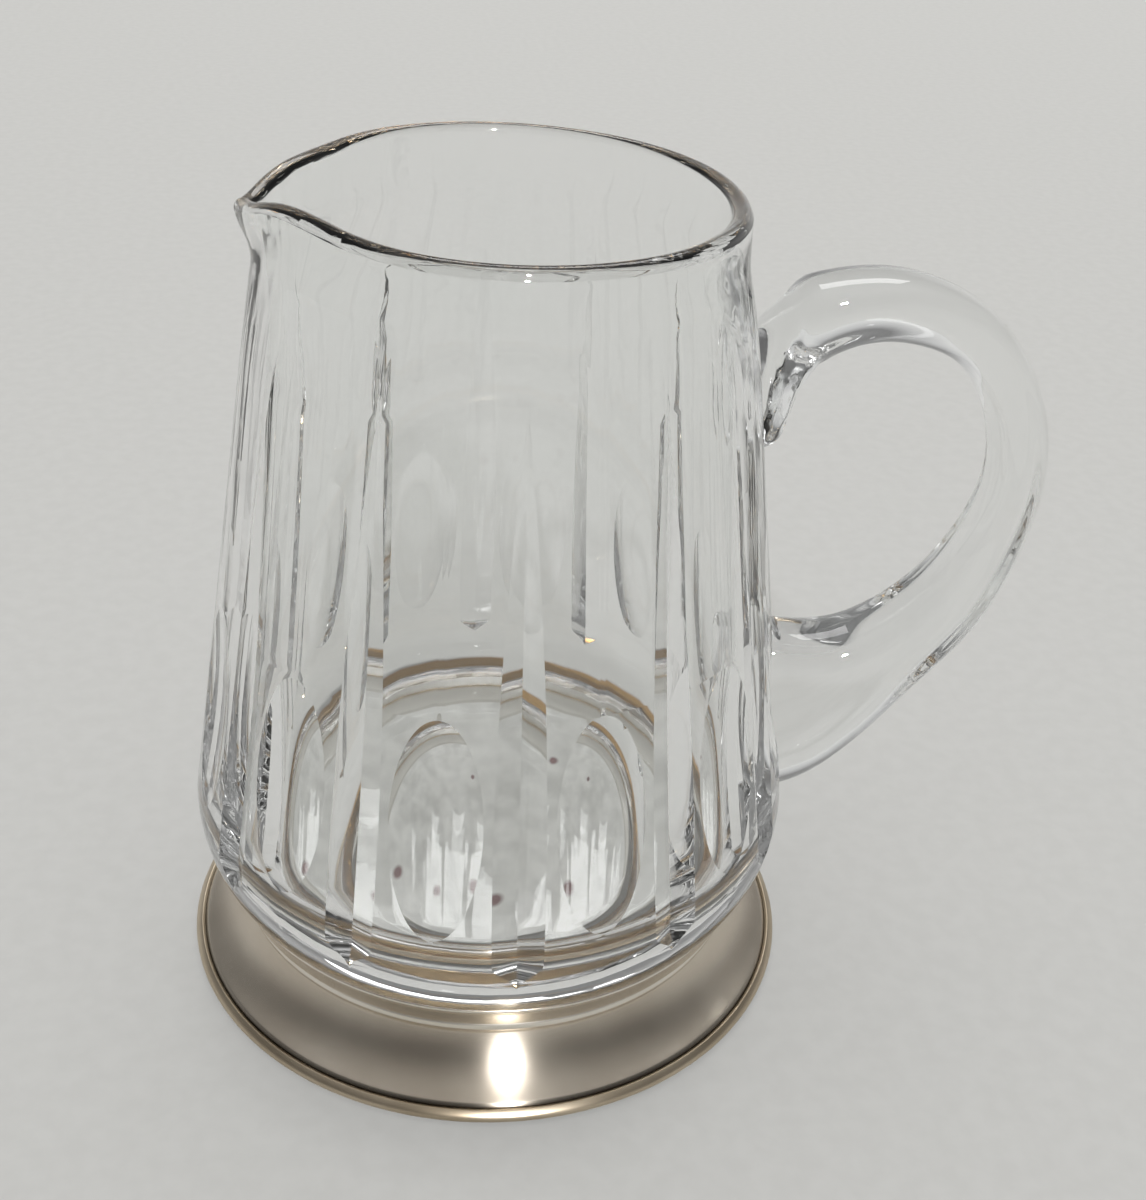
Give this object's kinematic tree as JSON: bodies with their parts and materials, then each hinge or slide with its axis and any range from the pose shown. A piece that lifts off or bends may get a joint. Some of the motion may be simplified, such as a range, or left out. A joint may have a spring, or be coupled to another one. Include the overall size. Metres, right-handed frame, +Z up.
{
  "type": "cut crystal jug",
  "caption": "Lidless crystal jug with a tapering cut wall, pulled spout and loop handle, set in a low satin silver foot, for serving water or wine.",
  "frame": {"origin": "on the axis of the vessel, on the flat underside of the foot", "axes": "+Z up along the axis of the vessel, +X towards the handle, -X towards the spout"},
  "size_m": [0.1675, 0.124, 0.1585],
  "materials": {
    "crystal": "polished",
    "silver_bright": "polished",
    "silver_satin": "satin",
    "silver_wire": "satin",
    "plaster": "matte",
    "base_wood": "satin"
  },
  "bodies": {
    "root": {"crystal_body": "crystal", "crystal_handle": "crystal", "collar_band": "silver_bright", "collar_moulding": "silver_bright", "foot_flange": "silver_satin", "edge_wire": "silver_wire", "cement_bed": "plaster", "foot_filling": "plaster", "base_plate": "base_wood"}
  },
  "joints": []
}
